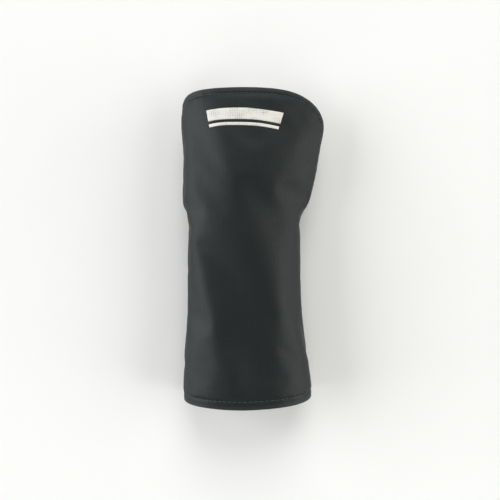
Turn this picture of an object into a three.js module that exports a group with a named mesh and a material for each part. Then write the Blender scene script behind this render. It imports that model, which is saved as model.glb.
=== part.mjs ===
// A padded leg sleeve for sliding into a base. A foam filled front pad wraps the front and the sides
// of the leg and carries on above as an open flap with rounded corners. A thin knitted panel closes
// the sleeve behind, from the hem up to the two side notches where the flap springs free.
// Millimetres. The sleeve lies on its back: X across, Y from the hem to the flap, Z up out of the front.

import * as THREE from "three";
import { ParametricGeometry } from "three/addons/geometries/ParametricGeometry.js";
import { mergeGeometries, mergeVertices } from "three/addons/utils/BufferGeometryUtils.js";

// Driving sizes of the front pad
const padLength = 417; // hem to the top of the flap, along the middle
const padThickness = 9; // foam and both faces of cloth
const edgeThickness = 4; // the sewn edge, where the foam has ended
const edgeTaper = 18; // the foam reaches its full thickness this far in from an edge
const edgeBulge = 1.8; // how far the turned edge rounds out past its two faces
const notchEase = 24; // above a notch the edge takes this far to round out in full
const halfGirth = 118; // middle to side edge, measured over the cloth
const hemRise = { left: 6, right: 12 }; // the hem's two corners lie this much above its middle
const hemPower = 1.4; // a higher power keeps more of the hem's middle straight
const shoulderStation = { left: 388, right: 364 }; // the flap's top corners start to round here
const cornerPower = { left: 4, right: 3 }; // a higher power squares a top corner
const cornerDrop = 30; // a corner's last bit falls this much lower, to meet the side edge in a round
const cornerDropPower = 18; // a higher power keeps that fall nearer the side edge

// Driving sizes of the back panel
const seamStation = 246; // the panel's upper rim, level with the side notches
const backThickness = 3;
const seamGap = 0.4; // between the two butted edges of a side seam
const floorShare = 0.62; // part of the sleeve's half width that lies flat on the floor
const floorColumns = 0.5; // part of the panel's columns that this flat takes
const turnUp = 0.55; // how full the panel's curve is from the floor up to a seam

// Sections of the front pad's outer face. Station is the distance from the hem. Left and right are
// the widest reach from the sleeve's middle, crown is the height of the front above the floor, a fall
// is the drop from the crown to a side edge, and a sweep is the turn from the crown to that edge:
// over 90 degrees the edge tucks under, below that it stands open.
const columns = ["left", "right", "crown", "leftFall", "rightFall", "leftSweep", "rightSweep"];
const frontSections = [
  { station: 0, values: [83, 93, 92, 66, 66, 108, 108] },
  { station: 40, values: [82, 89, 91, 65, 65, 108, 108] },
  { station: 85, values: [79, 83, 90, 64, 64, 108, 108] },
  { station: 130, values: [76, 78, 89, 63, 63, 108, 108] },
  { station: 190, values: [76, 76, 89, 63, 63, 108, 108] },
  { station: 232, values: [76, 76, 89, 63, 63, 108, 108] },
  { station: 250, values: [78, 78, 89, 63, 62, 107, 105] },
  { station: 270, values: [84, 90, 88, 63, 55, 98, 87] },
  { station: 300, values: [84, 97, 87, 64, 50, 96, 83] },
  { station: 340, values: [84, 105, 84, 64, 45, 97, 80] },
  { station: 375, values: [87, 113, 79, 61, 40, 96, 78] },
  { station: 417, values: [89, 112, 73, 56, 36, 95, 76] },
];

// Shallow dents in the front. Across is measured over the cloth from the middle, right positive.
const dents = [
  { station: 45, across: 12, depth: 4, along: 60, around: 22 },
  { station: 170, across: -20, depth: 2.5, along: 50, around: 30 },
  { station: 265, across: 8, depth: 3, along: 28, around: 60 },
  { station: 330, across: -45, depth: 2, along: 40, around: 26 },
];

const frontGrid = { columns: 28, rows: 64, rimSteps: 3, gather: 0.5, notchGather: 0.55 };
const backGrid = { columns: 20, rows: 16, rimSteps: 2, gather: 0, notchGather: 0 };
const notchMiddle = 262; // the front's rows are closest together here
const rowBend = 1.8; // a higher power keeps the bend of the rows nearer the flap's top
const nudge = 1e-3; // step for slopes, as a share of the grid
const mergeReach = 1e-3;

const sectionCurve = new THREE.CubicInterpolant(
  frontSections.map((row) => row.station),
  frontSections.flatMap((row) => row.values),
  columns.length,
);

function sectionAt(station) {
  const values = sectionCurve.evaluate(station);
  return Object.fromEntries(columns.map((name, i) => [name, values[i]]));
}

// The sleeve's middle stands off the origin, so that the flap's wide right side and its left balance.
const flapEnd = sectionAt(padLength);
const sleeveMiddle = (flapEnd.left - flapEnd.right) / 2;

function sideOf(across) {
  return across < 0 ? "left" : "right";
}

// A point of the front's plain arch: two elliptical halves that share the crown.
function archPoint(across, station) {
  const row = sectionAt(station);
  const side = sideOf(across);
  const fullSweep = THREE.MathUtils.degToRad(row[side + "Sweep"]);
  const reach = row[side] / Math.sin(Math.min(fullSweep, Math.PI / 2));
  const depth = row[side + "Fall"] / (1 - Math.cos(fullSweep));
  const sweep = across * fullSweep;
  const x = sleeveMiddle + reach * Math.sin(sweep);
  return new THREE.Vector3(x, station - padLength / 2, row.crown - depth * (1 - Math.cos(sweep)));
}

function hemStation(across) {
  return hemRise[sideOf(across)] * Math.abs(across) ** hemPower;
}

function topStation(across) {
  const share = Math.abs(across);
  const side = sideOf(across);
  const roundOff = (padLength - shoulderStation[side]) * share ** cornerPower[side];
  return padLength - roundOff - cornerDrop * share ** cornerDropPower;
}

// Rows lie level up to the notches, and above them they bend more and more into the flap's top.
function frontStation(across, along) {
  const notch = seamStation / padLength;
  const bend = Math.max(0, (along - notch) / (1 - notch)) ** rowBend;
  const level = THREE.MathUtils.lerp(hemStation(across), padLength, along);
  return level - (padLength - topStation(across)) * bend;
}

// Normal of a surface given by a function of two shares, pointing to the left of across by along.
function normalOf(surface, across, along) {
  const overAcross = surface(across + nudge, along).sub(surface(across - nudge, along));
  const overAlong = surface(across, along + nudge).sub(surface(across, along - nudge));
  return overAcross.cross(overAlong).normalize();
}

function plainFront(across, along) {
  return archPoint(across, frontStation(across, along));
}

function dentDepth(across, station) {
  let depth = 0;
  for (const dent of dents) {
    const away = (station - dent.station) / dent.along;
    const aside = (across * halfGirth - dent.across) / dent.around;
    depth += dent.depth * Math.exp(-(away ** 2) - aside ** 2);
  }
  return depth;
}

function frontThickness(across, along) {
  const station = frontStation(across, along);
  const toSide = (1 - Math.abs(across)) * halfGirth;
  const toEnd = Math.min(station - hemStation(across), topStation(across) - station);
  const sideFoam = THREE.MathUtils.smoothstep(toSide, 0, edgeTaper);
  const endFoam = THREE.MathUtils.smoothstep(toEnd, 0, edgeTaper);
  return THREE.MathUtils.lerp(edgeThickness, padThickness, sideFoam * endFoam);
}

function frontFace(across, along) {
  const inward = normalOf(plainFront, across, along).negate();
  const depth = dentDepth(across, frontStation(across, along));
  return plainFront(across, along).addScaledVector(inward, depth);
}

function frontLining(across, along) {
  const inward = normalOf(plainFront, across, along).negate();
  return frontFace(across, along).addScaledVector(inward, frontThickness(across, along));
}

// The front's edge rounds out everywhere but along the side seams, where it butts the back panel.
function frontBulge(across, along) {
  if (Math.abs(across) < 1) return edgeBulge;
  const station = frontStation(across, along);
  return edgeBulge * THREE.MathUtils.smoothstep(station, seamStation, seamStation + notchEase);
}

// The back's hem runs straight from one corner of the front's hem to the other.
function backStation(across, along) {
  const hem = THREE.MathUtils.lerp(hemRise.left, hemRise.right, (across + 1) / 2);
  return THREE.MathUtils.lerp(hem, seamStation, along);
}

// Where a seam lies at a station, with the direction in which the section goes on past it.
function seamAt(side, station) {
  const seam = archPoint(side, station);
  const onward = seam.clone().sub(archPoint(side * (1 - nudge), station)).normalize();
  return { seam: seam.addScaledVector(onward, seamGap), onward };
}

// The back's outer face: flat on the floor in the middle, turning up to the seam on each side.
function backUnder(across, along) {
  const station = backStation(across, along);
  const side = across < 0 ? -1 : 1;
  const flatHalf = floorShare * sectionAt(station)[sideOf(across)];
  const share = Math.abs(across);
  const y = station - padLength / 2;
  if (share <= floorColumns) {
    return new THREE.Vector3(sleeveMiddle + (side * flatHalf * share) / floorColumns, y, 0);
  }
  const { seam, onward } = seamAt(side, station);
  const flatEnd = new THREE.Vector3(sleeveMiddle + side * flatHalf, y, 0);
  const outward = new THREE.Vector3(side * Math.abs(seam.x - flatEnd.x) * turnUp, 0, 0);
  const turn = new THREE.CubicBezierCurve3(
    flatEnd,
    flatEnd.clone().add(outward),
    seam.clone().addScaledVector(onward, seam.z * turnUp),
    seam,
  );
  return turn.getPoint((share - floorColumns) / (1 - floorColumns));
}

function backInside(across, along) {
  const inward = normalOf(backUnder, across, along);
  return backUnder(across, along).addScaledVector(inward, backThickness);
}

// A closed shell between an upper and a lower surface, both functions of across from -1 to 1 and
// along from 0 to 1. The rim that joins them follows the border once round, anticlockwise from above.
// A grid's gather draws its columns towards the two side edges, where the corners round, and its
// notchGather draws its rows towards the notches, where the flap steps out.
function closedShell(upper, lower, bulge, grid) {
  const borderSteps = 2 * (grid.columns + grid.rows);

  function acrossAt(share) {
    const even = 2 * share - 1;
    return THREE.MathUtils.lerp(even, Math.sin((Math.PI / 2) * even), grid.gather);
  }

  function alongAt(share) {
    const turn = 2 * Math.PI;
    const middle = notchMiddle / padLength;
    const shift = Math.sin(turn * (share - middle)) + Math.sin(turn * middle);
    return share - (grid.notchGather / turn) * shift;
  }

  function borderAt(step) {
    const place = (step + borderSteps) % borderSteps;
    const corner = [grid.columns, grid.columns + grid.rows, 2 * grid.columns + grid.rows];
    if (place <= corner[0]) return { across: acrossAt(place / grid.columns), along: 0 };
    if (place <= corner[1]) return { across: 1, along: alongAt((place - corner[0]) / grid.rows) };
    if (place <= corner[2]) return { across: acrossAt((corner[2] - place) / grid.columns), along: 1 };
    return { across: -1, along: alongAt(1 - (place - corner[2]) / grid.rows) };
  }

  const upperFace = (u, v) => upper(acrossAt(u), alongAt(v));
  const lowerFace = (u, v) => lower(acrossAt(u), alongAt(v));

  function upperAt(step) {
    const { across, along } = borderAt(step);
    return upper(across, along);
  }

  function rimPoint(share, rise, target) {
    const step = share * borderSteps;
    const { across, along } = borderAt(step);
    const top = upper(across, along);
    const bottom = lower(across, along);
    const tangent = upperAt(step + 1).sub(upperAt(step - 1));
    const outward = tangent.cross(top.clone().sub(bottom)).normalize();
    target.lerpVectors(bottom, top, rise);
    target.addScaledVector(outward, bulge(across, along) * Math.sin(Math.PI * rise));
  }

  const faces = [
    new ParametricGeometry((u, v, p) => p.copy(upperFace(u, v)), grid.columns, grid.rows),
    new ParametricGeometry((u, v, p) => p.copy(lowerFace(1 - u, v)), grid.columns, grid.rows),
    new ParametricGeometry(rimPoint, borderSteps, grid.rimSteps),
  ];
  for (const face of faces) {
    face.deleteAttribute("normal");
    face.deleteAttribute("uv");
  }
  const shell = mergeVertices(mergeGeometries(faces), mergeReach);
  shell.computeVertexNormals();
  return shell;
}

function makeFrontPad() {
  const cover = new THREE.MeshStandardMaterial({ color: "#1f2224", roughness: 0.85, metalness: 0 });
  const frontPad = new THREE.Mesh(closedShell(frontFace, frontLining, frontBulge, frontGrid), cover);
  frontPad.name = "front_pad";
  return frontPad;
}

function makeBackPanel() {
  const knit = new THREE.MeshStandardMaterial({ color: "#17191b", roughness: 0.9, metalness: 0 });
  const backPanel = new THREE.Mesh(closedShell(backInside, backUnder, () => 0, backGrid), knit);
  backPanel.name = "back_panel";
  return backPanel;
}

const slidingPad = new THREE.Group();
slidingPad.name = "sliding_pad";
slidingPad.add(makeFrontPad(), makeBackPanel());

export default slidingPad;
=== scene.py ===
import math

import bpy
import numpy as np
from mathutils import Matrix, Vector, noise


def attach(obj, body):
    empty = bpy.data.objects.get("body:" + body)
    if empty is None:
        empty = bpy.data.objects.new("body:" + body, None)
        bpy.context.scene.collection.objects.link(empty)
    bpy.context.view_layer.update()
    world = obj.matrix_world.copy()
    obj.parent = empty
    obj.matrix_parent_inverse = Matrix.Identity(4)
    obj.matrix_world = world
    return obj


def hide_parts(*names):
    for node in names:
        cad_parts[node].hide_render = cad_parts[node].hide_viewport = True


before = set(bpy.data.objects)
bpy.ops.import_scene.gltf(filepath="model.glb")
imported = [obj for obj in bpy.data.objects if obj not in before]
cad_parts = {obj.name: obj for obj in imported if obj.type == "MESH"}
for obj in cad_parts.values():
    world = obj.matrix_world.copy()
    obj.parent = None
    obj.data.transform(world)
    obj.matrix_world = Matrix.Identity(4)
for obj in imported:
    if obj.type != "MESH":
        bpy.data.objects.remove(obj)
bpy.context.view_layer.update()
mm = 0.001  # sizes below are millimetres, meshes are metres


# The pad's form, the same as the solids that it replaces
padForm = {
    "length": 417,
    "thickness": 9,  # foam and both faces of cloth
    "edgeThickness": 4,
    "edgeTaper": 18,
    "edgeBulge": 1.8,
    "notchEase": 24,
    "halfGirth": 118,  # middle to side edge, over the cloth
    "hemRise": (6, 12),  # left and right
    "hemPower": 1.4,
    "shoulder": (388, 364),  # the flap's corners start to round here, left and right
    "cornerPower": (4, 3),
    "cornerDrop": 30,  # the last bit of a corner falls lower, to meet the side edge in a round
    "cornerDropPower": 18,
    "seamTop": 246,  # the side notches
    "rowBend": 1.8,  # a higher power keeps the bend of the rows nearer the flap's top
    "columns": ("station", "left", "right", "crown", "leftFall", "rightFall", "leftSweep", "rightSweep"),
    "sections": (
        (0, 83, 93, 92, 66, 66, 108, 108),
        (40, 82, 89, 91, 65, 65, 108, 108),
        (85, 79, 83, 90, 64, 64, 108, 108),
        (130, 76, 78, 89, 63, 63, 108, 108),
        (190, 76, 76, 89, 63, 63, 108, 108),
        (232, 76, 76, 89, 63, 63, 108, 108),
        (250, 78, 78, 89, 63, 62, 107, 105),
        (270, 84, 90, 88, 63, 55, 98, 87),
        (300, 84, 97, 87, 64, 50, 96, 83),
        (340, 84, 105, 84, 64, 45, 97, 80),
        (375, 87, 113, 79, 61, 40, 96, 78),
        (417, 89, 112, 73, 56, 36, 95, 76),
    ),
    "dents": (  # station, place across, depth, reach along, reach around
        (45, 12, 4, 60, 22),
        (170, -20, 2.5, 50, 30),
        (265, 8, 3, 28, 60),
        (330, -45, 2, 40, 26),
    ),
}
nudge = 1e-3  # step that slopes are measured over
tiny = 1e-12  # keeps a zero length from dividing


def smooth(value, low, high):
    share = np.clip((value - low) / (high - low), 0, 1)
    return share * share * (3 - 2 * share)


# Each column between its sections, on a cubic whose slope at a section is the mean of its two neighbours
def sectionAt(station):
    table = np.array(padForm["sections"], float)
    places = table[:, 0]
    index = np.clip(np.searchsorted(places, station) - 1, 0, len(places) - 2)
    step = places[index + 1] - places[index]
    share = np.clip((station - places[index]) / step, 0, 1)
    row = {}
    for name, values in zip(padForm["columns"][1:], table[:, 1:].T):
        secant = np.diff(values) / np.diff(places)
        slope = np.concatenate([secant[:1], (secant[:-1] + secant[1:]) / 2, secant[-1:]])
        start, end = values[index], values[index + 1]
        rise, fall = slope[index] * step, slope[index + 1] * step
        row[name] = (
            start
            + rise * share
            + (3 * (end - start) - 2 * rise - fall) * share**2
            + (2 * (start - end) + rise + fall) * share**3
        )
    return row


flapEnd = sectionAt(np.array([float(padForm["length"])]))
sleeveMiddle = float((flapEnd["left"] - flapEnd["right"])[0] / 2)


def archPoint(across, station):
    row = sectionAt(station)
    isLeft = across < 0
    fullSweep = np.radians(np.where(isLeft, row["leftSweep"], row["rightSweep"]))
    reach = np.where(isLeft, row["left"], row["right"]) / np.sin(np.minimum(fullSweep, math.pi / 2))
    depth = np.where(isLeft, row["leftFall"], row["rightFall"]) / (1 - np.cos(fullSweep))
    sweep = across * fullSweep
    x = sleeveMiddle + reach * np.sin(sweep)
    y = station - padForm["length"] / 2
    z = row["crown"] - depth * (1 - np.cos(sweep))
    return np.stack([x, y, z], -1)


# A left and right pair of sizes, each on its own side
def bySide(across, name):
    return np.where(across < 0, *padForm[name])


def hemStation(across):
    return bySide(across, "hemRise") * np.abs(across) ** padForm["hemPower"]


def topStation(across):
    share = np.abs(across)
    roundOff = (padForm["length"] - bySide(across, "shoulder")) * share ** bySide(across, "cornerPower")
    return padForm["length"] - roundOff - padForm["cornerDrop"] * share ** padForm["cornerDropPower"]


# Rows lie level up to the notches, and above them they bend more and more into the flap's top
def frontStation(across, along):
    notch = padForm["seamTop"] / padForm["length"]
    bend = np.maximum(0, (along - notch) / (1 - notch)) ** padForm["rowBend"]
    hem = hemStation(across)
    level = hem + along * (padForm["length"] - hem)
    return level - (padForm["length"] - topStation(across)) * bend


def plainFront(across, along):
    return archPoint(across, frontStation(across, along))


# How far over the cloth the hem or the flap's top is, whichever is nearer
def toEnd(across, station):
    return np.minimum(station - hemStation(across), topStation(across) - station)


def toSide(across):
    return (1 - np.abs(across)) * padForm["halfGirth"]


def unit(vectors):
    return vectors / np.maximum(np.linalg.norm(vectors, axis=-1, keepdims=True), tiny)


def normalOf(surface, across, along):
    overAcross = surface(across + nudge, along) - surface(across - nudge, along)
    overAlong = surface(across, along + nudge) - surface(across, along - nudge)
    return unit(np.cross(overAcross, overAlong))


def gridNormals(points):
    return unit(np.cross(np.gradient(points, axis=1), np.gradient(points, axis=0)))


def softNoise(x, y, size, seed):
    flat = zip((x / size).ravel(), (y / size).ravel())
    return np.array([noise.noise(Vector((a, b, seed))) for a, b in flat]).reshape(np.shape(x))


# Finer rows and columns near the edges, where the sewing is
def packedShares(count, gather=0.5):
    t = np.linspace(-1, 1, count + 1)
    return (1 - gather) * t + gather * np.sin(math.pi * t / 2)


# How far along a line each of its points is
def lineLengths(line):
    return np.concatenate([[0], np.cumsum(np.linalg.norm(np.diff(line, axis=0), axis=1))])


# Distance from each point of the flat cloth to a line on it, and how far along the line that is
def nearLine(flatX, flatY, line, batch=4000):
    lengths = lineLengths(line)
    points = np.stack([flatX.ravel(), flatY.ravel()], -1)
    away = np.empty(len(points))
    along = np.empty(len(points))
    for first in range(0, len(points), batch):
        part = slice(first, first + batch)
        gaps = ((points[part][:, None, :] - line[None, :, :]) ** 2).sum(-1)
        away[part] = np.sqrt(gaps.min(1))
        along[part] = lengths[gaps.argmin(1)]
    return away.reshape(flatX.shape), along.reshape(flatX.shape)


def gridQuads(rows, columns):
    grid = np.arange(rows * columns).reshape(rows, columns)
    quads = np.stack([grid[:-1, :-1], grid[:-1, 1:], grid[1:, 1:], grid[1:, :-1]], -1)
    return grid, quads.reshape(-1, 4)


def makePiece(name, points, faces, materials, slots=None, uv=None):
    mesh = bpy.data.meshes.new(name)
    mesh.from_pydata((points * mm).tolist(), [], faces)
    for material in materials:
        mesh.materials.append(material)
    if slots is not None:
        mesh.polygons.foreach_set("material_index", slots.astype(np.int32))
    if uv is not None:
        corners = np.empty(len(mesh.loops), np.int32)
        mesh.loops.foreach_get("vertex_index", corners)
        layer = mesh.uv_layers.new(name="cloth")
        layer.data.foreach_set("uv", (uv[corners] * mm).astype(np.float32).ravel())
    mesh.polygons.foreach_set("use_smooth", np.ones(len(mesh.polygons), bool))
    mesh.update()
    piece = bpy.data.objects.new(name, mesh)
    bpy.context.scene.collection.objects.link(piece)
    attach(piece, "root")
    return piece


rimLength = 1.3  # cloth that a rounded rim takes, as a share of the thickness that it turns round


# Closed shell between two grids of points, with a rounded rim. Slots: upper face, lower face, rim
def shellMesh(name, upper, lower, bulge, rimSteps, uv, materials, slots=(0, 0, 0)):
    grid, quads = gridQuads(*upper.shape[:2])
    size = grid.size
    border = np.concatenate([grid[0, :-1], grid[:-1, -1], grid[-1, :0:-1], grid[:0:-1, 0]])
    top = upper.reshape(-1, 3)[border]
    bottom = lower.reshape(-1, 3)[border]
    through = top - bottom
    tangent = np.roll(top, -1, 0) - np.roll(top, 1, 0)
    outward = unit(np.cross(tangent, through)) * bulge.reshape(-1)[border][:, None]
    flat = uv.reshape(-1, 2)[border]
    flatTangent = np.roll(flat, -1, 0) - np.roll(flat, 1, 0)
    flatOut = unit(np.stack([flatTangent[:, 1], -flatTangent[:, 0]], -1))
    flatOut = flatOut * np.linalg.norm(through, axis=1)[:, None] * rimLength
    rings = [border + size]
    rimPoints, rimFlat = [], []
    for step in range(1, rimSteps):
        share = step / rimSteps
        rimPoints.append(bottom + through * share + outward * math.sin(math.pi * share))
        rimFlat.append(flat + flatOut * (1 - share))
        rings.append(2 * size + (step - 1) * len(border) + np.arange(len(border)))
    rings.append(border)
    faces = [quads, quads[:, ::-1] + size]
    faceSlots = [np.full(len(quads), slots[0]), np.full(len(quads), slots[1])]
    for inner, outer in zip(rings[:-1], rings[1:]):
        faces.append(np.stack([inner, np.roll(inner, -1), np.roll(outer, -1), outer], -1))
        faceSlots.append(np.full(len(border), slots[2]))
    points = np.concatenate([upper.reshape(-1, 3), lower.reshape(-1, 3), *rimPoints])
    uvAll = np.concatenate([uv.reshape(-1, 2)] * 2 + rimFlat)
    faces = np.concatenate(faces).tolist()
    return makePiece(name, points, faces, materials, np.concatenate(faceSlots), uvAll)


# One short closed tube for each stitch. A run is a pair: its stitches' lines, and the way up from the cloth
def threadMesh(name, runs, radius, material, sides=6, endShare=0.45):
    lines = np.concatenate([stitches for stitches, _ in runs])
    ups = np.concatenate([up for _, up in runs])
    count, steps = lines.shape[:2]
    tangent = unit(np.gradient(lines, axis=1))
    side = unit(np.cross(tangent, ups[:, None, :]))
    over = np.cross(side, tangent)
    taper = np.ones(steps)
    taper[[0, -1]] = endShare
    turn = np.linspace(0, 2 * math.pi, sides, endpoint=False)
    ring = np.cos(turn)[:, None] * side[:, :, None, :] + np.sin(turn)[:, None] * over[:, :, None, :]
    points = lines[:, :, None, :] + ring * (radius * taper)[None, :, None, None]
    index = np.arange(count * steps * sides).reshape(count, steps, sides)
    after = np.roll(index, -1, 2)
    walls = np.stack([index[:, :-1], index[:, 1:], after[:, 1:], after[:, :-1]], -1).reshape(-1, 4)
    caps = np.concatenate([index[:, 0, :], index[:, -1, ::-1]])
    print(name, "threads:", count)
    return makePiece(name, points.reshape(-1, 3), walls.tolist() + caps.tolist(), [material])


def linear(hexColour):
    parts = [int(hexColour[i : i + 2], 16) / 255 for i in (1, 3, 5)]
    return tuple(c / 12.92 if c <= 0.04045 else ((c + 0.055) / 1.055) ** 2.4 for c in parts) + (1.0,)


# Adds a node with its settings and fills its sockets, by name or number (i0, i1), with values or links.
# A node given as a value stands for its first output.
def put(tree, kind, settings=None, **sockets):
    node = tree.nodes.new("ShaderNode" + kind)
    for key, value in (settings or {}).items():
        setattr(node, key, value)
    for key, value in sockets.items():
        socket = node.inputs[int(key[1:]) if key[1:].isdigit() else key.replace("_", " ")]
        if isinstance(value, bpy.types.Node):
            value = value.outputs[0]
        if isinstance(value, bpy.types.NodeSocket):
            tree.links.new(value, socket)
        else:
            socket.default_value = value
    return node


# Settings that many nodes share
times = {"operation": "MULTIPLY"}
timesPlus = {"operation": "MULTIPLY_ADD"}
mixColours = {"data_type": "RGBA"}


def newMaterial(name):
    material = bpy.data.materials.new(name)
    material.use_nodes = True
    tree = material.node_tree
    tree.nodes.clear()
    return material, tree


# Plain woven nylon canvas, dyed black: matt, with a cool fuzz of light where it turns away from the eye.
# Real threads are about 0.6 mm apart; they are drawn coarser so that the weave shows in the picture.
nylonLook = {
    "threadSpacing": 2.4,
    "threadLength": 0.4,  # a lower power makes the thread on top of a crossing longer
    "wander": 2.0,  # how far a thread strays from straight
    "wanderLength": 14,
    "slubLength": 70,  # each thread is a little lighter or darker along its length
    "slubTone": 0.7,
    "slubRelief": 0.9,
    "patch": 45,
    "patchTone": 0.5,
    "baseTone": -0.1,
    "scuff": 6.2,
    "relief": 0.3,
    "darkRoughness": 0.58,
    "lightRoughness": 0.46,
    "cloth": "#0d1212",
    "lightThread": "#1b2323",
    "rubbed": "#2a3131",
    "sheen": "#9ab1b5",
}


# Waves over the cloth in its two directions, half a turn to a thread
def threadWaves(tree, flat):
    axes = put(tree, "SeparateXYZ", Vector=flat)
    halfTurn = math.pi / (nylonLook["threadSpacing"] * mm)
    waves = []
    for axis in ("X", "Y"):
        turn = put(tree, "Math", times, i0=axes.outputs[axis], i1=halfTurn)
        waves.append(put(tree, "Math", {"operation": "SINE"}, i0=turn))
    return waves


def wovenNylon():
    look = nylonLook
    dark, light, rubbed = [linear(look[name]) for name in ("cloth", "lightThread", "rubbed")]
    material, tree = newMaterial("wovenNylonCanvas")
    flat = put(tree, "UVMap", {"uv_map": "cloth"})
    drift = put(tree, "TexNoise", Vector=flat, Scale=1 / (look["wanderLength"] * mm), Detail=2.0)
    stray = (look["wander"] * mm,) * 3
    strayed = put(tree, "VectorMath", timesPlus, i0=drift.outputs["Color"], i1=stray, i2=flat)
    # the thread on top at a crossing is rounded across and long along
    waves = threadWaves(tree, strayed)
    crossing = put(tree, "Math", times, i0=waves[0], i1=waves[1])
    warpOver = put(tree, "Math", {"operation": "GREATER_THAN"}, i0=crossing, i1=0.0)
    rounds = [put(tree, "Math", {"operation": "ABSOLUTE"}, i0=wave) for wave in waves]
    longs = [put(tree, "Math", {"operation": "POWER"}, i0=bow, i1=look["threadLength"]) for bow in rounds]
    warp = put(tree, "Math", times, i0=rounds[0], i1=longs[1])
    weft = put(tree, "Math", times, i0=rounds[1], i1=longs[0])
    height = put(tree, "Mix", i0=warpOver, i2=weft, i3=warp)
    # slubs along the threads and broad patches of tone, the cloth's own; the tone is then multiplied by the
    # threads' height, which paints the gaps between threads darker as painted shade
    thick, long = 1 / (look["threadSpacing"] * mm), 1 / (look["slubLength"] * mm)
    slubs = []
    for stretch in ((thick, long, 1.0), (long, thick, 1.0)):
        place = put(tree, "Mapping", Vector=flat, Scale=stretch)
        slubs.append(put(tree, "TexNoise", Vector=place, Scale=1.0, Detail=2.0, Roughness=0.6))
    slub = put(tree, "Mix", i0=warpOver, i2=slubs[1], i3=slubs[0])
    patches = put(tree, "TexNoise", Vector=flat, Scale=1 / (look["patch"] * mm), Detail=3.0, Roughness=0.55)
    tone = put(tree, "Math", timesPlus, i0=slub, i1=look["slubTone"], i2=look["baseTone"])
    tone = put(tree, "Math", timesPlus, i0=patches, i1=look["patchTone"], i2=tone)
    # painted shade: the gaps between threads go to the dark cloth colour
    tone = put(tree, "Math", {"operation": "MULTIPLY", "use_clamp": True}, i0=tone, i1=height)
    cloth = put(tree, "Mix", mixColours, i0=tone, i6=dark, i7=light)
    # edges and rims are rubbed lighter
    rub = put(tree, "Attribute", {"attribute_name": "rub"})
    scuff = put(tree, "TexNoise", Vector=flat, Scale=1 / (look["scuff"] * mm), Detail=3.0, Roughness=0.7)
    worn = put(tree, "Math", {"operation": "MULTIPLY", "use_clamp": True}, i0=rub.outputs["Fac"], i1=scuff)
    colour = put(tree, "Mix", mixColours, i0=worn, i6=cloth.outputs[2], i7=rubbed)
    rough = put(tree, "MapRange", i0=tone, i3=look["darkRoughness"], i4=look["lightRoughness"])
    thread = put(tree, "Math", timesPlus, i0=slub, i1=look["slubRelief"], i2=height)
    bump = put(tree, "Bump", Strength=0.35, Distance=look["relief"] * mm, Height=thread)
    shader = put(
        tree,
        "BsdfPrincipled",
        Base_Color=colour.outputs[2],
        Roughness=rough,
        IOR=1.53,
        Specular_IOR_Level=0.26,
        Sheen_Weight=0.08,
        Sheen_Roughness=0.3,
        Sheen_Tint=linear(look["sheen"]),
        Normal=bump,
    )
    put(tree, "OutputMaterial", Surface=shader)
    return material


# Brushed warp knit lining, black: a dull short nap with faint lengthwise lines.
# Real lines are under 1 mm apart; they are drawn coarser so that they show.
liningLook = {
    "lineSpacing": 2.2,
    "lineRelief": 0.25,
    "tuft": 1.9,
    "relief": 0.3,
    "cloth": "#17191a",
    "nap": "#272a2b",
    "sheen": "#949a9d",
}


def brushedLining():
    look = liningLook
    dark, light = linear(look["cloth"]), linear(look["nap"])
    fullTurn = 2 * math.pi / (look["lineSpacing"] * mm)
    material, tree = newMaterial("brushedTricot")
    flat = put(tree, "UVMap", {"uv_map": "cloth"})
    axes = put(tree, "SeparateXYZ", Vector=flat)
    turn = put(tree, "Math", times, i0=axes.outputs["X"], i1=fullTurn)
    line = put(tree, "Math", {"operation": "SINE"}, i0=turn)
    nap = put(tree, "TexNoise", Vector=flat, Scale=1 / (look["tuft"] * mm), Detail=3.0, Roughness=0.7)
    height = put(tree, "Math", timesPlus, i0=line, i1=look["lineRelief"], i2=nap)
    # the nap is lighter on the raised lines and tufts and darker between them: painted shade, over the nap's
    # own random tone
    colour = put(tree, "Mix", mixColours, i0=height, i6=dark, i7=light)
    bump = put(tree, "Bump", Strength=0.5, Distance=look["relief"] * mm, Height=height)
    shader = put(
        tree,
        "BsdfPrincipled",
        Base_Color=colour.outputs[2],
        Roughness=0.9,
        IOR=1.5,
        Specular_IOR_Level=0.12,
        Sheen_Weight=0.15,
        Sheen_Roughness=0.55,
        Sheen_Tint=linear(look["sheen"]),
        Normal=bump,
    )
    put(tree, "OutputMaterial", Surface=shader)
    return material


# Ribbed stretch knit, black: rows of small V loops on soft ribs, dull with a little fuzz.
# Real loops are about 1 mm long; they are drawn coarser so that they show.
knitLook = {
    "loopLength": 2.6,
    "loopSlant": 1.5,
    "loopRelief": 0.35,
    "ribSpacing": 4.6,
    "fuzz": 2.4,
    "relief": 0.4,
    "yarn": "#181a1b",
    "lightYarn": "#2a2d2f",
    "sheen": "#a0a7ab",
}


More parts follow.
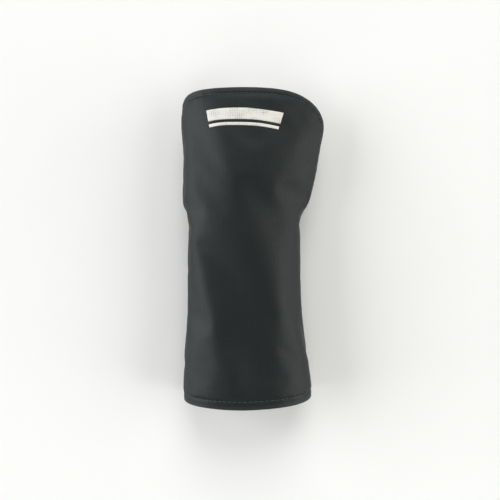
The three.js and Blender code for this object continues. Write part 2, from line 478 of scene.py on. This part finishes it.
def ribKnit():
    look = knitLook
    dark, light = linear(look["yarn"]), linear(look["lightYarn"])
    material, tree = newMaterial("ribbedStretchKnit")
    flat = put(tree, "UVMap", {"uv_map": "cloth"})
    axes = put(tree, "SeparateXYZ", Vector=flat)
    # a loop's two legs slant to the middle of their rib
    rib = put(tree, "Math", {"operation": "DIVIDE"}, i0=axes.outputs["X"], i1=look["ribSpacing"] * mm)
    leg = put(tree, "Math", {"operation": "PINGPONG"}, i0=rib, i1=0.5)
    row = put(tree, "Math", {"operation": "DIVIDE"}, i0=axes.outputs["Y"], i1=look["loopLength"] * mm)
    slant = put(tree, "Math", timesPlus, i0=leg, i1=look["loopSlant"], i2=row)
    turn = put(tree, "Math", times, i0=slant, i1=2 * math.pi)
    loop = put(tree, "Math", {"operation": "SINE"}, i0=turn)
    fuzz = put(tree, "TexNoise", Vector=flat, Scale=1 / (look["fuzz"] * mm), Detail=3.0, Roughness=0.65)
    height = put(tree, "Math", timesPlus, i0=loop, i1=look["loopRelief"], i2=fuzz)
    # the yarn is lighter on the loops and darker in the hollows between them: painted shade, over the fuzz's
    # own random tone
    colour = put(tree, "Mix", mixColours, i0=height, i6=dark, i7=light)
    bump = put(tree, "Bump", Strength=0.6, Distance=look["relief"] * mm, Height=height)
    shader = put(
        tree,
        "BsdfPrincipled",
        Base_Color=colour.outputs[2],
        Roughness=0.86,
        IOR=1.5,
        Specular_IOR_Level=0.14,
        Sheen_Weight=0.15,
        Sheen_Roughness=0.5,
        Sheen_Tint=linear(look["sheen"]),
        Normal=bump,
    )
    put(tree, "OutputMaterial", Surface=shader)
    return material


# Bonded polyester thread, black: smooth, so it shows only by its faint gloss against the matt cloth.
threadLook = {"thread": "#24282a", "worn": "#3a3f41", "patch": 3.8}


def sewingThread():
    look = threadLook
    dark, light = linear(look["thread"]), linear(look["worn"])
    material, tree = newMaterial("bondedPolyesterThread")
    place = put(tree, "TexCoord")
    vary = put(tree, "TexNoise", Vector=place.outputs["Object"], Scale=1 / (look["patch"] * mm), Detail=2.0)
    colour = put(tree, "Mix", mixColours, i0=vary, i6=dark, i7=light)
    shader = put(
        tree, "BsdfPrincipled", Base_Color=colour.outputs[2], Roughness=0.48, IOR=1.57, Sheen_Weight=0.1
    )
    put(tree, "OutputMaterial", Surface=shader)
    return material


# Screen printed plastisol ink, off-white: a thin rubbery film that takes the weave, pinholed where worn.
inkLook = {
    "wash": 18,
    "wornFrom": 0.5,  # the wash's strength where pinholes start
    "wornTo": 0.8,
    "wornMost": 0.3,
    "grain": 1.4,
    "relief": 0.2,
    "ink": "#dedcd4",
    "shade": "#c6c4bc",
    "pinhole": "#4a4c4c",
}


def printedInk():
    look = inkLook
    clean, shade, pinhole = [linear(look[name]) for name in ("ink", "shade", "pinhole")]
    material, tree = newMaterial("screenPrintedPlastisol")
    flat = put(tree, "UVMap", {"uv_map": "cloth"})
    waves = threadWaves(tree, flat)
    crossing = put(tree, "Math", times, i0=waves[0], i1=waves[1])
    height = put(tree, "Math", {"operation": "ABSOLUTE"}, i0=crossing)
    wash = put(tree, "TexNoise", Vector=flat, Scale=1 / (look["wash"] * mm), Detail=4.0, Roughness=0.6)
    grain = put(tree, "TexNoise", Vector=flat, Scale=1 / (look["grain"] * mm), Detail=2.0)
    thin = put(tree, "MapRange", i0=wash, i1=look["wornFrom"], i2=look["wornTo"], i4=look["wornMost"])
    bare = put(tree, "Math", times, i0=thin, i1=grain)
    hole = put(tree, "Math", {"operation": "LESS_THAN"}, i0=height, i1=bare)
    inked = put(tree, "Mix", mixColours, i0=wash, i6=clean, i7=shade)
    colour = put(tree, "Mix", mixColours, i0=hole, i6=inked.outputs[2], i7=pinhole)
    bump = put(tree, "Bump", Strength=0.3, Distance=look["relief"] * mm, Height=height)
    shader = put(tree, "BsdfPrincipled", Base_Color=colour.outputs[2], Roughness=0.55, IOR=1.5, Normal=bump)
    put(tree, "OutputMaterial", Surface=shader)
    return material


# Matt painted board under the pad: pale and even.
floorLook = {"paint": "#efefed", "shade": "#e9e9e7", "mottle": 330, "reach": 60.0}  # reach in metres


def paintedFloor():
    look = floorLook
    light, dark = linear(look["paint"]), linear(look["shade"])
    material, tree = newMaterial("mattPaintedBoard")
    place = put(tree, "TexCoord")
    vary = put(tree, "TexNoise", Vector=place.outputs["Object"], Scale=1 / (look["mottle"] * mm), Detail=4.0)
    colour = put(tree, "Mix", mixColours, i0=vary, i6=light, i7=dark)
    shader = put(
        tree, "BsdfPrincipled", Base_Color=colour.outputs[2], Roughness=0.85, Specular_IOR_Level=0.2
    )
    put(tree, "OutputMaterial", Surface=shader)
    return material


nylon = wovenNylon()
lining = brushedLining()
knit = ribKnit()
thread = sewingThread()
ink = printedInk()
print("materials made")


# Sewing lines on the flat cloth: x over the cloth from the middle, y from the hem
sewing = {
    "flapInset": 6.5,
    "hemInset": 9.0,
    "seamInset": 3.4,
    "lineSpacing": 0.6,
    "insetSlack": 0.1,
    "stitch": 4.2,  # real stitches are about 3 mm; drawn longer so that they show
    "gap": 0.9,
    "thread": 0.42,  # radius, about half as thick again as the real thread
    "lift": 0.35,
    "dive": 0.6,  # how deep a stitch's ends go in, as a share of its lift
    "zigzag": 3.2,
    "seamStart": 4,
    "seamStop": 2,
    "seamLift": 0.55,
    "threadPoints": 7,
    "tackThreads": 8,
    "tackPitch": 1.0,
    "tackInset": 1.0,
    "tackReach": 4.4,
    "tackBend": 0.4,  # half turns from a tack's middle to its ends
}


def flatBorder(side, low, high, count=240):
    y = np.linspace(low, high, count)
    return np.stack([np.full(count, side * padForm["halfGirth"]), y], -1)


def flatTop(count=500):
    across = np.sin(np.linspace(1, -1, count) * math.pi / 2)
    return np.stack([across * padForm["halfGirth"], topStation(across)], -1)


def flatHem(count=400):
    across = np.linspace(-1, 1, count)
    return np.stack([across * padForm["halfGirth"], hemStation(across)], -1)


def evenLine(line):
    lengths = lineLengths(line)
    places = np.arange(0, lengths[-1], sewing["lineSpacing"])
    return np.stack([np.interp(places, lengths, line[:, i]) for i in (0, 1)], -1)


# A line moved in from an edge; points that come too near the edge at a corner drop out
def insetLine(line, inset):
    line = evenLine(line)
    tangent = unit(np.gradient(line, axis=0))
    moved = line + inset * np.stack([-tangent[:, 1], tangent[:, 0]], -1)
    away, _ = nearLine(moved[:, 0], moved[:, 1], line)
    return evenLine(moved[away > inset - sewing["insetSlack"]])


flapEnds = topStation(np.array([-1.0, 1.0]))
rightEdge = flatBorder(1, padForm["seamTop"], flapEnds[1])
leftEdge = flatBorder(-1, flapEnds[0], padForm["seamTop"])
flapEdge = np.concatenate([rightEdge, flatTop(), leftEdge])
flapLine = insetLine(flapEdge, sewing["flapInset"])
hemLine = insetLine(flatHem(), sewing["hemInset"])
hemLine = hemLine[np.abs(hemLine[:, 0]) < padForm["halfGirth"] - sewing["seamInset"]]
print("sewing lines laid out, mm:", [round(lineLengths(line)[-1]) for line in (flapLine, hemLine)])


# Front pad
padLook = {
    "columns": 132,
    "rows": 220,
    "rimSteps": 6,
    "edgeDrop": 1.7,  # the cover falls to its sewn edge
    "edgeReach": 16,
    "groove": 1.1,
    "grooveWidth": 1.7,
    "pucker": 0.75,
    "puckers": ((1.0, 8, 1.7), (0.5, 3.6, 5.2)),  # share, length, seed
    "puckerReach": 7,
    "hemShift": 5000,  # far along the noise, so that the hem's puckers are not the flap's
    "swell": ((70, 0.9, 3.1), (24, 0.3, 7.7)),  # size, height, seed
    "swellCalm": 30,
    "edgeWave": 1.1,  # the free edges wave a little, cover and lining together
    "edgeWaveLength": 38,
    "edgeWaveReach": 26,
    "edgeWaveSeed": 9.3,
    "seamCalm": 30,  # a sewn side does not wave, up to a little above the notch
    "seamCalmAbove": 12,
    "rubReach": 3.0,
    "foldSpread": 0.8,  # a fold widens by this share
    "foldStart": (-0.1, 0.12),  # shares of its length over which it deepens and fades
    "foldEnd": (0.35, 1.0),
    "folds": (  # place across, station, heading in degrees from across to the flap, length, depth, width
        (104, 252, 150, 55, 1.5, 6),
        (106, 240, 196, 45, 1.1, 5),
        (102, 266, 120, 48, 1.0, 6),
        (-104, 252, 28, 52, 1.4, 6),
        (-106, 238, -14, 42, 1.0, 5),
        (-101, 268, 62, 46, 1.0, 6),
        (-14, 70, 96, 70, 1.3, 9),
        (26, 20, 88, 80, -1.4, 10),
        (-8, 12, 95, 75, -1.2, 9),
    ),
}


def dentDepth(flatX, station):
    depth = np.zeros_like(station)
    for place, across, deep, along, around in padForm["dents"]:
        depth += deep * np.exp(-(((station - place) / along) ** 2) - ((flatX - across) / around) ** 2)
    return depth


def foldHeight(flatX, station):
    height = np.zeros_like(station)
    for across, place, heading, length, depth, width in padLook["folds"]:
        run, rise = math.cos(math.radians(heading)), math.sin(math.radians(heading))
        x = flatX - across
        y = station - place
        along = (x * run + y * rise) / length
        spread = width * (1 + padLook["foldSpread"] * np.clip(along, 0, 1))
        aside = (y * run - x * rise) / spread
        fade = smooth(along, *padLook["foldStart"]) * (1 - smooth(along, *padLook["foldEnd"]))
        height -= depth * fade * np.exp(-(aside**2))
    return height


# The cover's height along its sewn edges, the edges' own wave, and the distance to an edge
def sewnRelief(flatX, station):
    away, place = nearLine(flatX, station, flapLine)
    hemAway, hemPlace = nearLine(flatX, station, hemLine)
    isHem = hemAway < away
    away = np.where(isHem, hemAway, away)
    place = np.where(isHem, hemPlace + padLook["hemShift"], place)
    level = np.zeros_like(place)
    edges = [nearLine(flatX, station, evenLine(edge))[0] for edge in (flapEdge, flatHem())]
    edgeAway = np.minimum(*edges)
    relief = -padLook["edgeDrop"] * (1 - smooth(edgeAway, 0, padLook["edgeReach"]))
    relief -= padLook["groove"] * np.exp(-((away / padLook["grooveWidth"]) ** 2))
    gather = sum(share * softNoise(place, level, size, seed) for share, size, seed in padLook["puckers"])
    relief += padLook["pucker"] * gather * np.exp(-((away / padLook["puckerReach"]) ** 2))
    wave = padLook["edgeWave"] * softNoise(place, level, padLook["edgeWaveLength"], padLook["edgeWaveSeed"])
    wave *= 1 - smooth(edgeAway, 0, padLook["edgeWaveReach"])
    return relief, wave, edgeAway


def frontThickness(across, station):
    sideFoam = smooth(toSide(across), 0, padForm["edgeTaper"])
    endFoam = smooth(toEnd(across, station), 0, padForm["edgeTaper"])
    return padForm["edgeThickness"] + (padForm["thickness"] - padForm["edgeThickness"]) * sideFoam * endFoam


# Cover cloth by simulation: cut a little long and askew for its foam, it is drawn in and buckles softly
drape = {
    "columns": 62,
    "rows": 108,
    "grow": 10.0,  # simulated ten times as large, where the solver's smallest lengths do not matter
    "frames": 24,
    "drawnIn": 12,  # the cloth has come from its cut form to the pad's by this frame
    "slackAround": 0.002,
    "slackHeight": 30,  # the slack around spreads from this height
    "slackAlong": 0.003,
    "slackPlaces": ((256, 26, 0.02, 0.7), (24, 36, 0.012, 0.0)),  # station, reach, slack, less midway
    "slackSamples": 900,
    "uneven": (0.25, 17, 4.4),  # height, size and seed of the foam's unevenness, which starts the buckles
    "lean": 0.025,  # the flap's cloth lies askew by this slope
    "leanStart": 215,
    "foamHold": 0.06,
    "sewnEdge": 8,
    "gravity": 0.02,
    "share": 0.5,  # the foam gives way to this part of the settled height
    "solver": {
        "vertex_group_mass": "held",
        "quality": 6,
        "mass": 0.05,
        "tension_stiffness": 40,
        "compression_stiffness": 40,
        "shear_stiffness": 13,
        "bending_stiffness": 5,
        "air_damping": 1,
    },
}


# The cloth's form as it was cut: the worn form with its slack and its lean
def cutForm(worn, across, station):
    cut = worn.copy()
    around = 1 + drape["slackAround"]
    cut[..., 0] = sleeveMiddle + (worn[..., 0] - sleeveMiddle) * around
    cut[..., 0] += drape["lean"] * np.clip(station - drape["leanStart"], 0, None)
    cut[..., 1] += drape["slackAlong"] * worn[..., 1]
    cut[..., 2] = drape["slackHeight"] + (worn[..., 2] - drape["slackHeight"]) * around
    places = np.linspace(0, padForm["length"], drape["slackSamples"])
    for place, reach, more, sideways in drape["slackPlaces"]:
        eased = np.cumsum(np.exp(-(((places - place) / reach) ** 2))) * places[1]
        share = 1 - sideways * (1 - across**2)
        cut[..., 1] += more * np.interp(station, places, eased - eased[-1] / 2) * share
    return cut


def settleCover():
    scene = bpy.context.scene
    grow = drape["grow"] * mm
    columns = np.linspace(-1, 1, drape["columns"] + 1)
    across, along = np.meshgrid(columns, np.linspace(0, 1, drape["rows"] + 1))
    station = frontStation(across, along)
    flatX = across * padForm["halfGirth"]
    normal = normalOf(plainFront, across, along)
    worn = plainFront(across, along) - normal * dentDepth(flatX, station)[..., None]
    height, size, seed = drape["uneven"]
    uneven = worn + normal * (height * softNoise(flatX, station, size, seed))[..., None]
    _, quads = gridQuads(*across.shape)
    mesh = bpy.data.meshes.new("coverCloth")
    cut = cutForm(worn, across, station) * grow
    mesh.from_pydata(cut.reshape(-1, 3).tolist(), [], quads.tolist())
    cover = bpy.data.objects.new("coverCloth", mesh)
    scene.collection.objects.link(cover)
    cover.shape_key_add(name="cut")
    wornKey = cover.shape_key_add(name="worn")
    wornKey.data.foreach_set("co", (uneven * grow).astype(np.float32).ravel())
    for value, number in ((0.0, 1), (1.0, drape["drawnIn"])):
        wornKey.value = value
        wornKey.keyframe_insert("value", frame=number)
    edgeAway = np.minimum(toSide(across), toEnd(across, station)).ravel()
    held = cover.vertex_groups.new(name="held")
    held.add(np.flatnonzero(edgeAway >= drape["sewnEdge"]).tolist(), drape["foamHold"], "REPLACE")
    held.add(np.flatnonzero(edgeAway < drape["sewnEdge"]).tolist(), 1.0, "REPLACE")
    cloth = cover.modifiers.new("settle", "CLOTH")
    for key, value in drape["solver"].items():
        setattr(cloth.settings, key, value)
    cloth.settings.effector_weights.gravity = drape["gravity"]
    cloth.collision_settings.use_collision = False
    cloth.point_cache.frame_end = drape["frames"]
    for number in range(1, drape["frames"] + 1):
        scene.frame_set(number)
    settled = cover.evaluated_get(bpy.context.evaluated_depsgraph_get()).data
    points = np.empty(len(settled.vertices) * 3, np.float32)
    settled.vertices.foreach_get("co", points)
    moved = ((points.reshape(worn.shape) / grow - worn) * normal).sum(-1)
    bpy.data.objects.remove(cover)
    bpy.data.meshes.remove(mesh)
    scene.frame_set(1)
    print("cover settled, mm:", [round(float(v), 2) for v in np.percentile(moved, (0, 5, 50, 95, 100))])
    return moved * drape["share"]


# Weights that carry a coarse grid's values to places between its points, on a smooth cubic
def splineWeights(shares, count):
    place = np.clip(shares, 0, 1) * (count - 1)
    index = np.minimum(np.floor(place).astype(int), count - 2)
    t = place - index
    parts = ((1 - t) ** 3, 3 * t**3 - 6 * t**2 + 4, -3 * t**3 + 3 * t**2 + 3 * t + 1, t**3)
    weights = np.zeros((len(shares), count))
    for step, part in enumerate(parts):
        np.add.at(weights, (np.arange(len(shares)), np.clip(index + step - 1, 0, count - 1)), part / 6)
    return weights


padAcross = packedShares(padLook["columns"])
padAlong = (packedShares(padLook["rows"]) + 1) / 2
across, along = np.meshgrid(padAcross, padAlong)
station = frontStation(across, along)
flatX = across * padForm["halfGirth"]
arch = plainFront(across, along)
archNormal = normalOf(plainFront, across, along)
relief, wave, edgeAway = sewnRelief(flatX, station)
isSewn = station < padForm["seamTop"] + padLook["seamCalmAbove"]
wave *= np.where(isSewn, smooth(toSide(across), 0, padLook["seamCalm"]), 1.0)
relief += foldHeight(flatX, station) - dentDepth(flatX, station)
calm = smooth(edgeAway, 0, padLook["swellCalm"])
for size, height, seed in padLook["swell"]:
    relief += height * softNoise(flatX, station, size, seed) * calm
settled = settleCover()
rowWeights = splineWeights(padAlong, settled.shape[0])
columnWeights = splineWeights((padAcross + 1) / 2, settled.shape[1])
relief += rowWeights @ settled @ columnWeights.T
padFace = arch + archNormal * (relief + wave)[..., None]
liningDepth = frontThickness(across, station) + dentDepth(flatX, station) - wave
padLining = arch - archNormal * liningDepth[..., None]
padNormal = gridNormals(padFace)
freeSide = smooth(station, padForm["seamTop"], padForm["seamTop"] + padForm["notchEase"])
frontPad = shellMesh(
    "front_pad_cover",
    padFace,
    padLining,
    padForm["edgeBulge"] * np.where(np.isclose(np.abs(across), 1), freeSide, 1.0),
    padLook["rimSteps"],
    np.stack([flatX, station], -1),
    [nylon, lining],
    slots=(0, 1, 0),
)
rubbed = frontPad.data.attributes.new("rub", "FLOAT", "POINT")
rubValues = np.zeros(len(frontPad.data.vertices), np.float32)
rubValues[: edgeAway.size] = np.exp(-((edgeAway.ravel() / padLook["rubReach"]) ** 2))
rubValues[2 * edgeAway.size :] = 1.0  # the rim
rubbed.data.foreach_set("value", rubValues)
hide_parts("front_pad")
print("front pad made, faces:", len(frontPad.data.polygons))


# A point and its normal on a grid of points, at fractional rows and columns
def onGrid(points, normals, row, column):
    row0 = np.clip(np.floor(row).astype(int), 0, points.shape[0] - 2)
    column0 = np.clip(np.floor(column).astype(int), 0, points.shape[1] - 2)
    down = (row - row0)[..., None]
    over = (column - column0)[..., None]
    found = []
    for values in (points, normals):
        low = values[row0, column0] * (1 - over) + values[row0, column0 + 1] * over
        high = values[row0 + 1, column0] * (1 - over) + values[row0 + 1, column0 + 1] * over
        found.append(low * (1 - down) + high * down)
    return found[0], unit(found[1])


# A point of the flat cloth on the cover; its row is found between the rows' own stations
def onFront(x, y):
    share = x / padForm["halfGirth"]
    stations = frontStation(share[..., None], padAlong)
    below = np.clip((stations <= y[..., None]).sum(-1) - 1, 0, len(padAlong) - 2)[..., None]
    low = np.take_along_axis(stations, below, -1)[..., 0]
    high = np.take_along_axis(stations, below + 1, -1)[..., 0]
    row = below[..., 0] + np.clip((y - low) / (high - low), 0, 1)
    column = np.interp(share, padAcross, np.arange(len(padAcross)))
    return onGrid(padFace, padNormal, row, column)


# Stitches along a line on the cloth, each a low arc that dives in at both ends
def stitchLines(line, surface, lift, steps=5):
    lengths = lineLengths(line)
    pitch = sewing["stitch"] + sewing["gap"]
    starts = np.arange(sewing["gap"], lengths[-1] - sewing["stitch"], pitch)
    places = starts[:, None] + np.linspace(0, sewing["stitch"], steps)[None, :]
    x = np.interp(places, lengths, line[:, 0])
    y = np.interp(places, lengths, line[:, 1])
    points, normals = surface(x, y)
    bow = np.sin(math.pi * np.linspace(0, 1, steps))
    arc = lift * ((1 + sewing["dive"]) * bow - sewing["dive"])
    return points + normals * arc[None, :, None], normals.mean(1)


edgeRuns = [stitchLines(line, onFront, sewing["lift"]) for line in (flapLine, hemLine)]
edgeStitches = threadMesh("edge_stitches", edgeRuns, sewing["thread"], thread)


# Back panel
backForm = {
    "thickness": 3,
    "seamGap": 0.4,
    "floorShare": 0.62,
    "turnUp": 0.55,
    "turnPoints": 80,
    "floorPoints": 60,
    "levels": 90,
    "ribs": 40,
    "ribDepth": 0.8,
    "columnsPerRib": 8,
    "sideCalm": (0.2, 1.5),  # ribs from the side over which they rise to full depth
    "rimCalm": 5,  # they are shallower this near the hems
    "rimShare": 0.35,
    "rows": 70,
    "rimSteps": 4,
    "hemFold": 12.5,  # the knit is turned under this far at both ends
    "hemFoldRise": 0.9,
    "hemFoldEase": 1,
    "hemRound": 1.3,
    "hemRows": (7.0, 11.0),
    "hemStitchMargin": 6,
    "hemStitchLift": 0.65,
    "hemStitchPoints": 400,
}


# A section of the back: flat on the floor, turning up at each side to meet the pad's edge
def backSection(station, count):
    row = sectionAt(np.array([station]))
    y = station - padForm["length"] / 2
    t = np.linspace(0, 1, backForm["turnPoints"])[:, None]
    weights = ((1 - t) ** 3, 3 * t * (1 - t) ** 2, 3 * t**2 * (1 - t), t**3)
    halves = []
    for side, reach in ((-1, row["left"][0]), (1, row["right"][0])):
        edge = archPoint(np.array([float(side), side * (1 - nudge)]), np.array([station, station]))
        onward = unit(edge[0] - edge[1])
        seam = edge[0] + onward * backForm["seamGap"]
        flatEnd = np.array([sleeveMiddle + side * backForm["floorShare"] * reach, y, 0.0])
        pull = np.array([side * abs(seam[0] - flatEnd[0]) * backForm["turnUp"], 0, 0])
        corners = (flatEnd, flatEnd + pull, seam + onward * seam[2] * backForm["turnUp"], seam)
        halves.append(sum(weight * corner for weight, corner in zip(weights, corners)))
    middle = np.linspace(halves[0][0], halves[1][0], backForm["floorPoints"])[1:-1]
    points = np.concatenate([halves[0][::-1], middle, halves[1]])
    lengths = lineLengths(points)
    places = np.linspace(0, lengths[-1], count)
    return np.stack([np.interp(places, lengths, points[:, i]) for i in range(3)], -1), lengths[-1]


backColumns = backForm["ribs"] * backForm["columnsPerRib"]
backHem = np.linspace(*padForm["hemRise"], backColumns + 1)  # straight between the hem's corners
backAlong = (packedShares(backForm["rows"]) + 1) / 2
backStations = backHem + backAlong[:, None] * (padForm["seamTop"] - backHem)
levels = np.linspace(backStations.min(), backStations.max(), backForm["levels"])
sections = [backSection(level, backColumns + 1) for level in levels]
backWidth = float(np.mean([length for _, length in sections]))
backOuter = np.empty(backStations.shape + (3,))
for column, levelPoints in enumerate(np.swapaxes([points for points, _ in sections], 0, 1)):
    for axis in range(3):
        backOuter[:, column, axis] = np.interp(backStations[:, column], levels, levelPoints[:, axis])
inward = gridNormals(backOuter)
ribPhase = np.linspace(0, backForm["ribs"], backColumns + 1)
valley = 0.5 - 0.5 * np.cos(2 * math.pi * ribPhase)
sideCalm = smooth(np.minimum(ribPhase, backForm["ribs"] - ribPhase), *backForm["sideCalm"])
rimAway = np.minimum(backStations - backHem, padForm["seamTop"] - backStations)
rimDepth = backForm["rimShare"] + (1 - backForm["rimShare"]) * smooth(rimAway, 0, backForm["rimCalm"])
cut = backForm["ribDepth"] * valley * sideCalm * rimDepth
foldFrom = backForm["hemFold"] - backForm["hemFoldEase"]
foldTo = backForm["hemFold"] + backForm["hemFoldEase"]
foldRise = backForm["hemFoldRise"] * (1 - smooth(rimAway, foldFrom, foldTo)) * sideCalm
backUnder = backOuter + inward * cut[..., None]
backInside = backOuter + inward * (backForm["thickness"] - cut + foldRise)[..., None]
backX = np.linspace(-backWidth / 2, backWidth / 2, backColumns + 1)
backPanel = shellMesh(
    "back_panel_knit",
    backInside,
    backUnder,
    backForm["hemRound"] * (rimAway < nudge) * sideCalm,
    backForm["rimSteps"],
    np.stack([np.broadcast_to(backX, backStations.shape), backStations], -1),
    [knit],
)
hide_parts("back_panel")
print("back panel made, faces:", len(backPanel.data.polygons), "width mm:", round(backWidth))


# The same for a face of the knit, given with its own normals
def onBack(points, normals):
    def find(x, y):
        column = np.interp(x, backX, np.arange(backColumns + 1))
        hem = np.interp(x, backX, backHem)
        row = np.interp((y - hem) / (padForm["seamTop"] - hem), backAlong, np.arange(len(backAlong)))
        return onGrid(points, normals, row, column)

    return find


onInside = onBack(backInside, gridNormals(backInside))
onUnder = onBack(backUnder, -gridNormals(backUnder))


# Flat seam down each side: threads that cross the two butted edges in a zigzag
seamRuns = []
for side, hemCorner in zip((-1, 1), padForm["hemRise"]):
    lowest = hemCorner + sewing["seamStart"]
    seamStations = np.arange(lowest, padForm["seamTop"] - sewing["seamStop"], sewing["zigzag"] / 2)
    frontX = np.full(len(seamStations), side * (padForm["halfGirth"] - sewing["seamInset"]))
    knitX = np.full(len(seamStations), side * (backWidth / 2 - sewing["seamInset"]))
    onPad, padUp = onFront(frontX, seamStations)
    onKnit, knitUp = onUnder(knitX, seamStations)
    edge, _ = onFront(np.full(len(seamStations), side * padForm["halfGirth"]), seamStations)
    isPad = (np.arange(len(seamStations)) % 2 == 0)[:, None]
    ends = np.where(isPad, onPad, onKnit)
    ups = unit(padUp + knitUp)[:-1]
    bridge = (edge[:-1] + edge[1:]) / 2 + ups * sewing["seamLift"]
    middle = (2 * bridge - (ends[:-1] + ends[1:]) / 2)[:, None, :]
    start = ends[:-1, None, :]
    end = ends[1:, None, :]
    share = np.linspace(0, 1, sewing["threadPoints"])[None, :, None]
    seamRuns.append(((1 - share) ** 2 * start + 2 * share * (1 - share) * middle + share**2 * end, ups))
    # a tack of close threads holds each end of the seam, at the notch and at the hem
    tackRun = sewing["tackInset"] + sewing["tackPitch"] * np.arange(sewing["tackThreads"])
    tackShares = np.linspace(-1, 1, sewing["threadPoints"])
    lifted = sewing["lift"] * np.cos(sewing["tackBend"] * math.pi * tackShares)[None, :, None]
    for tackStations in (padForm["seamTop"] - tackRun, hemCorner + tackRun):
        reachOut, tackY = np.meshgrid(tackShares * sewing["tackReach"], tackStations)
        onPad, padUp = onFront(side * (padForm["halfGirth"] + np.minimum(reachOut, 0)), tackY)
        onKnit, knitUp = onUnder(side * (backWidth / 2 - np.maximum(reachOut, 0)), tackY)
        isPad = (reachOut < 0)[..., None]
        tackUp = unit(np.where(isPad, padUp, knitUp))
        seamRuns.append((np.where(isPad, onPad, onKnit) + tackUp * lifted, tackUp.mean(1)))
seamStitches = threadMesh("side_seam_stitches", seamRuns, sewing["thread"], thread)


# Hems of the knit: two rows at each end, on the face that looks into the sleeve
knitRuns = []
knitReach = backWidth / 2 - backForm["hemStitchMargin"]
knitX = np.linspace(-knitReach, knitReach, backForm["hemStitchPoints"])
lowHem = np.interp(knitX, backX, backHem)
highHem = np.full(len(knitX), float(padForm["seamTop"]))
for inset in backForm["hemRows"]:
    for level in (lowHem + inset, highHem - inset):
        line = np.stack([knitX, level], -1)
        knitRuns.append(stitchLines(line, onInside, backForm["hemStitchLift"]))
knitStitches = threadMesh("knit_hem_stitches", knitRuns, sewing["thread"], thread)


# Printed arch on the flap: one broad band and a thin line under it
printForm = {
    "middle": (-1.2, 382.5),
    "radius": 215.0,
    "span": 80.0,
    "lean": math.radians(2.5),
    "bands": ((0.0, 15.0), (-13.5, 4.0)),  # offset of a band's middle line, its width
    "film": 0.3,
    "step": 1.6,
    "fewestRows": 4,
    "rimSteps": 2,
}
lean = printForm["lean"]
centreX = printForm["middle"][0] - printForm["radius"] * math.sin(lean)
centreY = printForm["middle"][1] - printForm["radius"] * math.cos(lean)
half = math.asin(printForm["span"] / 2 / printForm["radius"])
angles = lean + np.linspace(half, -half, int(printForm["span"] / printForm["step"]))
for number, (offset, width) in enumerate(printForm["bands"]):
    radius = printForm["radius"] + offset
    rows = max(printForm["fewestRows"], int(width / printForm["step"]))
    radii = np.linspace(radius + width / 2, radius - width / 2, rows)
    turn, reachOut = np.meshgrid(angles, radii)
    x = centreX + reachOut * np.sin(turn)
    y = centreY + reachOut * np.cos(turn)
    points, normals = onFront(x, y)
    film = shellMesh(
        f"printed_band_{number + 1}",
        points + normals * printForm["film"],
        points - normals * printForm["film"],
        np.zeros_like(x),
        printForm["rimSteps"],
        np.stack([x, y], -1),
        [ink],
    )
print("printed bands made")


# Floor, light and camera
reach = floorLook["reach"]
floorCorners = [(-reach, -reach, 0), (reach, -reach, 0), (reach, reach, 0), (-reach, reach, 0)]
floorMesh = bpy.data.meshes.new("floor")
floorMesh.from_pydata(floorCorners, [], [(0, 1, 2, 3)])
floorMesh.materials.append(paintedFloor())
floor = bpy.data.objects.new("floor", floorMesh)
bpy.context.scene.collection.objects.link(floor)

# Broad windows all round and a dim ceiling: the floor is evenly pale and the cloth's slopes catch the light
lamps = {
    "leftWindow": {"from": (-1.0, 0.15, 0.42), "spread": 46, "strength": 2.7, "tint": "#fcfeff"},
    "rightWindow": {"from": (1.0, -0.05, 0.48), "spread": 46, "strength": 1.9, "tint": "#fffefb"},
    "farWindow": {"from": (0.1, 1.0, 0.75), "spread": 40, "strength": 1.5, "tint": "#ffffff"},
    "nearWindow": {"from": (-0.1, -1.0, 1.0), "spread": 40, "strength": 0.4, "tint": "#ffffff"},
}
for name, lamp in lamps.items():
    data = bpy.data.lights.new(name, "SUN")
    data.angle = math.radians(lamp["spread"])
    data.energy = lamp["strength"]
    data.color = linear(lamp["tint"])[:3]
    light = bpy.data.objects.new(name, data)
    light.location = lamp["from"]
    light.rotation_euler = Vector(lamp["from"]).to_track_quat("Z", "Y").to_euler()
    bpy.context.scene.collection.objects.link(light)

# The room's glow fades from its walls to its ceiling, between these heights on a sphere of radius 1
room = {"tint": "#fafaf9", "wallTop": 0.1, "ceiling": 0.55, "wallGlow": 1.04, "ceilingGlow": 0.12}
world = bpy.data.worlds.new("studio")
world.use_nodes = True
sky = world.node_tree
sky.nodes.clear()
direction = put(sky, "TexCoord")
parts = put(sky, "SeparateXYZ", Vector=direction.outputs["Generated"])
glow = put(
    sky,
    "MapRange",
    {"interpolation_type": "SMOOTHSTEP"},
    i0=parts.outputs["Z"],
    i1=room["wallTop"],
    i2=room["ceiling"],
    i3=room["wallGlow"],
    i4=room["ceilingGlow"],
)
background = put(sky, "Background", Color=linear(room["tint"]), Strength=glow)
put(sky, "OutputWorld", Surface=background)
bpy.context.scene.world = world
bpy.context.scene.view_settings.view_transform = "Standard"

# The pad's widest part is this high above the floor; the scale there is in millimetres a pixel
shot = {"x": -3.8, "y": -3.8, "height": 940, "widestPart": 40, "scale": 1.357, "pixels": 500}
camera = bpy.data.cameras.new("camera")
camera.sensor_width = 36
distance = shot["height"] - shot["widestPart"]
camera.lens = camera.sensor_width * distance / (shot["scale"] * shot["pixels"])
eye = bpy.data.objects.new("camera", camera)
eye.location = (shot["x"] * mm, shot["y"] * mm, shot["height"] * mm)
bpy.context.scene.collection.objects.link(eye)
bpy.context.scene.camera = eye
print("stage set, lens mm:", round(camera.lens, 1))
